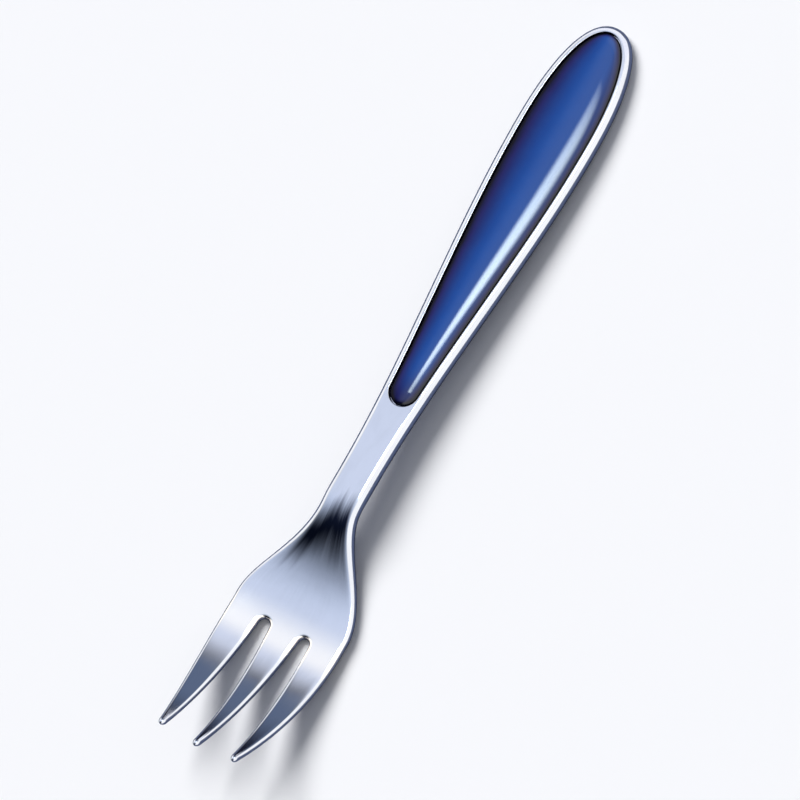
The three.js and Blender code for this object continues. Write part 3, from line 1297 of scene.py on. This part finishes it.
    def _flat_blank(self) -> Piece:
        """Draws out the flat blank with its slots.

        Returns:
            The blank, with a face where the pocket will be.
        """
        tines = self._tine_rows()
        shank = self._shank_rows(self._root_row(tines))
        rim = self._rim_rows()
        throats = self._throat_rows()
        pocket = self.plan.pocket_edge()
        far_end = pocket[-self.plan.pocket_end_steps - 1 :]
        parts = [drawn_strip("fork_steel", rim)]
        parts += [drawn_strip("strip", rows) for rows in (shank, *throats, *tines)]
        parts.append(self._pocket_end(far_end))
        pick(*parts)
        bpy.ops.object.join()
        blank = parts[0]
        throat = both_sides(far_end) + shank[0] + [row[-1] for rows in throats for row in rows]
        self._fill_flats(blank, (throat, both_sides(pocket)))
        outline = [row[0] for rows in (rim, *throats) for row in rows]
        outline += [row[end] for rows in (shank, *tines) for row in rows for end in (0, -1)]
        self._note_heights(blank, outline)
        return blank

    @staticmethod
    def _fill_flats(blank: Piece, borders: Iterable[Row]) -> None:
        """Joins the strips of the blank and closes the flats between them.

        Args:
            blank: The blank.
            borders: The points round each of the flats.
        """
        with edit_mode(blank) as mesh:
            merge_points()
            for border in borders:
                on_border = lies_on(border)
                pick_edges(blank, mesh, lambda edge: len(edge.link_faces) < 2 and on_border(edge))
                bpy.ops.mesh.edge_face_add()
            turn_outwards()

    def _note_heights(self, blank: Piece, outline: Row) -> None:
        """Notes on each point of the flat blank how high the steel will be there.

        Args:
            blank: The flat blank.
            outline: The points of its outline.
        """
        reach = distance_to(outline)
        group = blank.vertex_groups.new(name="height")
        for vertex in blank.data.vertices:
            height = 2 * self._half_height(vertex.co.x, reach(vertex.co))
            group.add([vertex.index], height / self.handle_thickness, "REPLACE")

    def _pocket_end(self, far_end: Edge) -> Piece:
        """The line of the pocket's rounded far end: half of a circle, stretched to its radii.

        Args:
            far_end: The right half of that end.

        Returns:
            The line.
        """
        start, end = far_end[0], far_end[-1]
        pick()
        bpy.ops.mesh.primitive_circle_add(vertices=4 * self.plan.pocket_end_steps, radius=1)
        line = bpy.context.object
        with edit_mode(line) as mesh:
            for vertex in mesh.verts:
                vertex.select_set(vertex.co.x < -SAME_PLACE)
            mesh.select_flush(True)
            bmesh.update_edit_mesh(line.data)
            bpy.ops.mesh.delete(type="VERT")
        line.scale = (end.x - start.x, start.y, 1)
        line.location = (start.x, 0, 0)
        bpy.ops.object.transform_apply(location=True, rotation=True, scale=True)
        return line

    def _thicken(self, steel: Piece) -> None:
        """Gives the pressed sheet its thickness, which falls towards the tips and round the edges."""
        apply_modifier(steel, "SOLIDIFY", thickness=self.handle_thickness, offset=0.0, vertex_group="height")
        steel.vertex_groups.clear()

    def _sink_pocket(self, steel: Piece) -> None:
        """Sinks the pocket and rounds the inner edge of the rim that is left round it.

        Args:
            steel: The thickened steel.
        """
        on_pocket = lies_on(both_sides(self.plan.pocket_edge()))
        upper = self.handle_thickness / 4
        with edit_mode(steel) as mesh:
            bpy.ops.mesh.select_mode(type="FACE")
            upward = [face for face in mesh.faces if face.normal.z > FACING_UP]
            max(upward, key=lambda face: face.calc_area()).select_set(True)
            flush(steel, mesh)
            bpy.ops.mesh.extrude_region_move(TRANSFORM_OT_translate={"value": (0, 0, -self.pocket_depth)})
            pick_edges(steel, mesh, lambda edge: on_pocket(edge) and all(v.co.z > upper for v in edge.verts))
            bpy.ops.mesh.bevel(offset=self.rim_radius, segments=self.round_segments, clamp_overlap=False)

    def _note_blank_places(self, steel: Piece) -> None:
        """Notes on each point where it lay in the blank, so that the polish lines follow the steel.

        Args:
            steel: The steel, not laid in its place yet.
        """
        places = steel.data.attributes.new("blank_place", "FLOAT_VECTOR", "POINT")
        for vertex, place in zip(steel.data.vertices, places.data):
            x, y, z = vertex.co
            spread = self.plan.handle_width / 2 / self.plan.half_width(x)
            place.vector = (x, y * spread, z - self.die.lift(x, y))

    def dress(self, steel: Piece, finish: PolishedSteel, groups: EffectGroups) -> None:
        """Gives the steel its finish and its place in the frame.

        Args:
            steel: The piece.
            finish: Its finish.
            groups: The shared surface effects.
        """
        dress(steel, finish.material(groups))
        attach(steel, "root")
        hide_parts("fork_body")


@dataclass(frozen=True)
class DomedInlay:
    """The blue inlay: flat underneath, level with the handle's middle, and crowned above."""

    plan: ForkPlan
    seat: Seat
    rim_top: float = 1.5 * MM
    clearance: float = 0.2 * MM
    edge_drop: float = 0.25 * MM
    crown: float = 1.3 * MM
    crown_fade: float = 3.2 * MM  # the crown sinks fast where half the inlay's width is less than this
    edge_radius: float = 0.35 * MM
    edge_column: float = 0.5 * MM
    sharp_edge: float = math.radians(40)
    cells: int = 22
    round_segments: int = 5

    def build(self) -> Piece:
        """Makes the inlay.

        Returns:
            The finished piece, in its place.
        """
        right = self.plan.pocket_edge(self.clearance)
        halves = sorted(point.place for point in right)
        inlay = drawn_strip("inlay_dome", [self._row(a, b) for a, b in zip(mirrored(right), right)])
        with edit_mode(inlay):
            merge_points()
            bpy.ops.mesh.normals_make_consistent(inside=False)
            height = self.rim_top - self.edge_drop
            bpy.ops.mesh.extrude_region_move(TRANSFORM_OT_translate={"value": (0, 0, height)})
            turn_outwards()
        self._crown(inlay, halves)
        self._round_edge(inlay)
        self._note_walls(inlay, both_sides(right), halves)
        self.seat.lay(inlay)
        shade_smoothly(inlay)
        return inlay

    def _row(self, left: EdgePoint, right: EdgePoint) -> Row:
        """The points across the inlay between two points of its edges.

        Args:
            left: The point of the left edge.
            right: The point of the right edge.

        Returns:
            The points, from left to right.
        """
        start, end = left.drawn_in(self.edge_column).place, right.drawn_in(self.edge_column).place
        inner = [between(start, end, cell / self.cells) for cell in range(self.cells + 1)]
        return [left.place, *inner, right.place]

    def _crown(self, inlay: Piece, halves: Row) -> None:
        """Crowns the upper face, with the crown sinking to the two ends.

        Args:
            inlay: The inlay with a flat upper face.
            halves: Places along the inlay, with half its width there.
        """
        widest = max(half for _, half in halves)
        for vertex in inlay.data.vertices:
            if vertex.co.z > self.rim_top / 2:
                half = self._half_width(halves, vertex.co.x)
                bow = max(0.0, 1 - (vertex.co.y / half) ** 2) if half > 0 else 0.0
                short = 1 - min(half / self.crown_fade, 1.0)
                vertex.co.z += self.crown * math.sqrt(half / widest) * (1 - short * short) * bow

    @staticmethod
    def _half_width(halves: Row, x: float) -> float:
        """Half the inlay's width at a place along it.

        Args:
            halves: Places along the inlay, with half its width there.
            x: The place.

        Returns:
            Half the width, read between the two nearest of those places.
        """
        for (x0, y0), (x1, y1) in zip(halves, halves[1:]):
            if x0 <= x <= x1:
                return blended(y0, y1, (x - x0) / (x1 - x0) if x1 > x0 else 0.0)
        return 0.0

    def _round_edge(self, inlay: Piece) -> None:
        """Rounds the edge between the crown and the upright wall.

        Args:
            inlay: The crowned inlay.
        """

        def wanted(edge: bmesh.types.BMEdge) -> bool:
            """Whether an edge is one to round."""
            sharp = len(edge.link_faces) == 2 and edge.calc_face_angle() > self.sharp_edge
            return sharp and all(vertex.co.z > self.rim_top / 2 for vertex in edge.verts)

        with edit_mode(inlay) as mesh:
            pick_edges(inlay, mesh, wanted)
            bpy.ops.mesh.bevel(offset=self.edge_radius, segments=self.round_segments, clamp_overlap=False)

    def _note_walls(self, inlay: Piece, edge: Row, halves: Row) -> None:
        """Notes on each point how far it lies from the pocket's wall, and where it lies across the inlay.

        Args:
            inlay: The inlay.
            edge: The points of its outline.
            halves: Places along the inlay, with half its width there.
        """
        from_edge = distance_to(edge)
        distances = inlay.data.attributes.new("from_wall", "FLOAT", "POINT")
        shares = inlay.data.attributes.new("across", "FLOAT", "POINT")
        for vertex, distance, share in zip(inlay.data.vertices, distances.data, shares.data):
            distance.value = from_edge(vertex.co)
            share.value = vertex.co.y / max(self._half_width(halves, vertex.co.x), self.edge_radius)

    def dress(self, inlay: Piece, finish: BlueAcrylic, groups: EffectGroups) -> None:
        """Gives the inlay its finish and its place in the frame.

        Args:
            inlay: The piece.
            finish: Its finish.
            groups: The shared surface effects.
        """
        dress(inlay, finish.material(groups))
        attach(inlay, "root")
        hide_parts("handle_inlay")


def hang_panel(name: str, material: bpy.types.Material, turn: float = 0.0) -> Piece:
    """Adds a lit panel to the studio, which only mirroring surfaces see.

    Args:
        name: The panel's name.
        material: Its light.
        turn: How far it is turned up about the Y axis, in radians.

    Returns:
        The panel, one metre each way, to be stretched and placed.
    """
    pick()
    bpy.ops.mesh.primitive_plane_add(size=1, rotation=(0, turn, 0))
    panel = bpy.context.object
    panel.name = name
    dress(panel, material)
    panel.visible_camera = False
    panel.visible_shadow = False
    panel.visible_diffuse = False
    return panel


@dataclass(frozen=True)
class SoftPanel:
    """A lit panel that the polished surfaces mirror, spread over a part of the sky above the fork.

    Its angles are in degrees off the vertical. Its near end is the one towards the handle's end.
    """

    name: str
    along: Span  # from and to which angle it reaches, towards the tips
    across: Span  # the same across the fork, towards its right side
    strengths: Span  # at its near and far ends
    colours: tuple[Colour, Colour]  # at the same ends
    fades: Span = (0.0, 0.0)  # the shares of its length over which its light dies away there
    near_low: float = 0.0  # the share of its light that is left at the near end
    taper: float = 1.0  # the share of its width that is lit at the near end
    soft: float = 0.0  # the share of its width over which its light dies away at each side
    distance: float = 2.5

    def build(self) -> Piece:
        """Puts the panel up.

        Returns:
            The panel.
        """
        near, far = self._reach(self.along)
        left, right = self._reach(self.across)
        panel = hang_panel(self.name, self._glow())
        panel.scale = (far - near, right - left, 1)
        panel.location = ((near + far) / 2, (left + right) / 2, self.distance)
        return panel

    def _reach(self, angles: Span) -> Span:
        """From and to where the panel reaches at its distance, for two angles."""
        low, high = (self.distance * math.tan(math.radians(angle)) for angle in angles)
        return low, high

    def _glow(self) -> bpy.types.Material:
        """Makes the panel's light.

        Returns:
            A material. Where the panel has soft sides, it adds to what lies behind it.
        """
        material, bench = bare_material(self.name)
        along, across, _ = bench.axes(bench.place())
        whole = (-UNIT_EDGE, UNIT_EDGE)
        strength = bench.ramp(along, whole, self.strengths, Change.EVEN)
        near, far = self.fades
        if near > 0:
            rise = bench.ramp(along, (-UNIT_EDGE, near - UNIT_EDGE), (self.near_low, 1.0))
            strength = bench.product(strength, rise)
        if far > 0:
            strength = bench.product(strength, bench.ramp(along, (UNIT_EDGE - far, UNIT_EDGE), FALLING))
        if self.soft > 0:
            width = bench.ramp(along, whole, (self.taper, 1.0), Change.EVEN)
            aside = bench.math("DIVIDE", bench.math("ABSOLUTE", across), width)
            lit = bench.ramp(aside, (UNIT_EDGE - self.soft, UNIT_EDGE), FALLING)
            strength = bench.product(strength, lit)
        tone = bench.mix(bench.ramp(along, whole, change=Change.EVEN), *self.colours)
        surface = bench.add("ShaderNodeEmission", {"Color": tone, "Strength": strength}).outputs[0]
        if self.soft > 0:
            clear = bench.add("ShaderNodeBsdfTransparent").outputs[0]
            surface = bench.add("ShaderNodeAddShader", {0: clear, 1: surface}).outputs[0]
        bench.add("ShaderNodeOutputMaterial", {"Surface": surface})
        return material


@dataclass(frozen=True)
class EndCard:
    """A lit card that stands a little way off the handle's end, for the end of the rim to mirror."""

    at: float = -105 * MM
    across: Span = (-60 * MM, 30 * MM)
    heights: Span = (7 * MM, 60 * MM)
    colour: Colour = (1.0, 1.02, 1.04)
    strength: float = 1.3

    def build(self) -> Piece:
        """Stands the card up.

        Returns:
            The card.
        """
        material, bench = bare_material("end_card")
        glow = bench.add("ShaderNodeEmission", {"Color": self.colour, "Strength": self.strength})
        bench.add("ShaderNodeOutputMaterial", {"Surface": glow.outputs[0]})
        (left, right), (low, high) = self.across, self.heights
        card = hang_panel("end_card", material, turn=math.pi / 2)
        card.scale = (high - low, right - left, 1)
        card.location = (self.at, (left + right) / 2, (low + high) / 2)
        return card


@dataclass(frozen=True)
class Studio:
    """A pale floor, soft light from above on the left, and the surroundings that the steel mirrors.

    The spans of the surroundings are coordinates of the direction in which they lie.
    """

    floor_size: float = 12.0
    floor_colour: Colour = (0.93, 0.93, 0.94)
    floor_mirrored: Colour = (0.13, 0.16, 0.25)  # what the polished surfaces mirror of it
    floor_roughness: float = 0.9
    floor_gloss: float = 0.1
    key_strength: float = 3.1
    key_towards: Direction = (-0.30, -0.55, 0.78)
    key_spread: float = math.radians(36)
    fill: Colour = (0.24, 0.25, 0.28)
    walls: Colour = (1.44, 1.45, 1.36)  # the pale walls to the left and right of the fork
    left_wall: Span = (-0.85, -0.6)
    right_wall: Span = (0.0, 0.3)
    behind: Colour = (0.15, 0.2, 0.3)  # past the handle's end
    behind_low: Colour = (0.012, 0.014, 0.03)
    low_heights: Span = (0.15, 0.5)
    ahead: Colour = (0.010, 0.010, 0.016)  # past the tips
    behind_to_ahead: Span = (-0.6, 0.3)
    card: EndCard = EndCard()
    panels: tuple[SoftPanel, ...] = (
        SoftPanel(
            "broad_panel",
            along=(-40, 52.4),
            across=(-48, 14),
            strengths=(1.06, 0.93),
            colours=((0.95, 1, 1.08), (0.78, 0.95, 1.2)),
            fades=(0.16, 0.61),
            near_low=0.2,
        ),
        SoftPanel(
            "overhead_strip",
            along=(-20, -9),
            across=(-5.5, 16.5),
            strengths=(0.5, 26.0),
            colours=((0.85, 1, 1.03), (0.85, 1, 1.03)),
            fades=(0, 0.12),
            taper=0.5,
            soft=0.4,
            distance=2.4,
        ),
    )

    def build(self) -> None:
        """Sets the studio up."""
        self._floor()
        self._key()
        self._world()
        for panel in (*self.panels, self.card):
            panel.build()

    def _floor(self) -> None:
        """Lays the floor that the fork lies on."""
        pick()
        bpy.ops.mesh.primitive_plane_add(size=self.floor_size)
        floor = bpy.context.object
        floor.name = "floor"
        material, bench, shader = new_material("floor")
        tone = bench.mix(bench.mirrored_ray(), self.floor_colour, self.floor_mirrored)
        finish = {"Roughness": self.floor_roughness, "Specular IOR Level": self.floor_gloss}
        bench.plug(shader, {"Base Color": tone, **finish})
        dress(floor, material)

    def _key(self) -> None:
        """Hangs the soft key light, which lights the floor and casts the shadow."""
        lamp = bpy.data.lights.new("key", "SUN")
        lamp.energy = self.key_strength
        lamp.angle = self.key_spread
        key = bpy.data.objects.new("key", lamp)
        bpy.context.scene.collection.objects.link(key)
        key.rotation_euler = Vector(self.key_towards).to_track_quat("Z", "Y").to_euler()
        key.visible_glossy = False

    def _world(self) -> None:
        """Sets the surroundings: pale walls to the left and right, and dimness fore and aft."""
        world = bpy.data.worlds.new("studio")
        bpy.context.scene.world = world
        world.use_nodes = True
        world.node_tree.nodes.clear()
        bench = NodeBench(world.node_tree)
        along, across, height = bench.axes(bench.add("ShaderNodeTexCoord").outputs["Generated"])
        back = bench.mix(bench.ramp(height, self.low_heights), self.behind_low, self.behind)
        tone = bench.mix(bench.ramp(along, self.behind_to_ahead), back, self.ahead)
        left = bench.ramp(across, self.left_wall, FALLING)
        right = bench.ramp(across, self.right_wall)
        walled = bench.mix(bench.math("MAXIMUM", left, right), tone, self.walls)
        seen = bench.mix(bench.mirrored_ray(), self.fill, walled)
        surroundings = bench.add("ShaderNodeBackground", {"Color": seen, "Strength": 1.0})
        bench.add("ShaderNodeOutputWorld", {"Surface": surroundings.outputs[0]})


@dataclass(frozen=True)
class PhotoCamera:
    """The camera at the photograph's viewing angle, far off with a long lens."""

    seat: Seat
    towards: Direction = (0.15, 0.40, 0.904)  # from the fork to the camera, along the fork's axes
    axis_turn: float = math.radians(120.16)  # from the image's right, clockwise, to the fork's long axis
    aim: tuple[float, float, float] = (78.2 * MM, 0.2 * MM, 1.5 * MM)
    width_seen: float = 142.2 * MM
    distance: float = 1.6
    sensor: float = 36.0
    clip: Span = (0.01, 100.0)

    def build(self) -> Piece:
        """Sets the camera up and makes it the scene's.

        Returns:
            The camera.
        """
        back = Vector(self.towards).normalized()
        along = (Vector((1, 0, 0)) - back * back.x).normalized()
        across = back.cross(along)
        right = along * math.cos(self.axis_turn) + across * math.sin(self.axis_turn)
        turn = Matrix((right, back.cross(right), back)).transposed().to_4x4()
        data = bpy.data.cameras.new("photo_camera")
        data.sensor_width = self.sensor
        data.lens = self.sensor * self.distance / self.width_seen
        data.clip_start, data.clip_end = self.clip
        camera = bpy.data.objects.new("photo_camera", data)
        bpy.context.scene.collection.objects.link(camera)
        place = Matrix.Translation(Vector(self.aim) + back * self.distance)
        camera.matrix_world = self.seat.matrix() @ place @ turn
        bpy.context.scene.camera = camera
        return camera


def main() -> None:
    """Builds the fork and its studio."""
    logging.basicConfig(level=logging.INFO, format="%(name)s: %(message)s")
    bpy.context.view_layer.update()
    bpy.context.scene.view_settings.view_transform = "Standard"
    plan, seat = ForkPlan(), Seat()
    PhotoCamera(seat).build()
    groups = EffectGroups()

    fork = SteelFork(plan, FormingDie(plan), seat)
    dome = DomedInlay(plan, seat)
    for assembly, finish in ((fork, PolishedSteel()), (dome, BlueAcrylic())):
        piece = assembly.build()
        assembly.dress(piece, finish, groups)
        LOG.info("%s: %d faces", piece.name, len(piece.data.polygons))

    adhesive = frame["nodes"]["inlay_adhesive"]
    dress(adhesive, CuredBond().material(groups))
    LOG.info("%s: dressed as packed", adhesive.name)

    Studio().build()


if __name__ == "__main__":
    main()
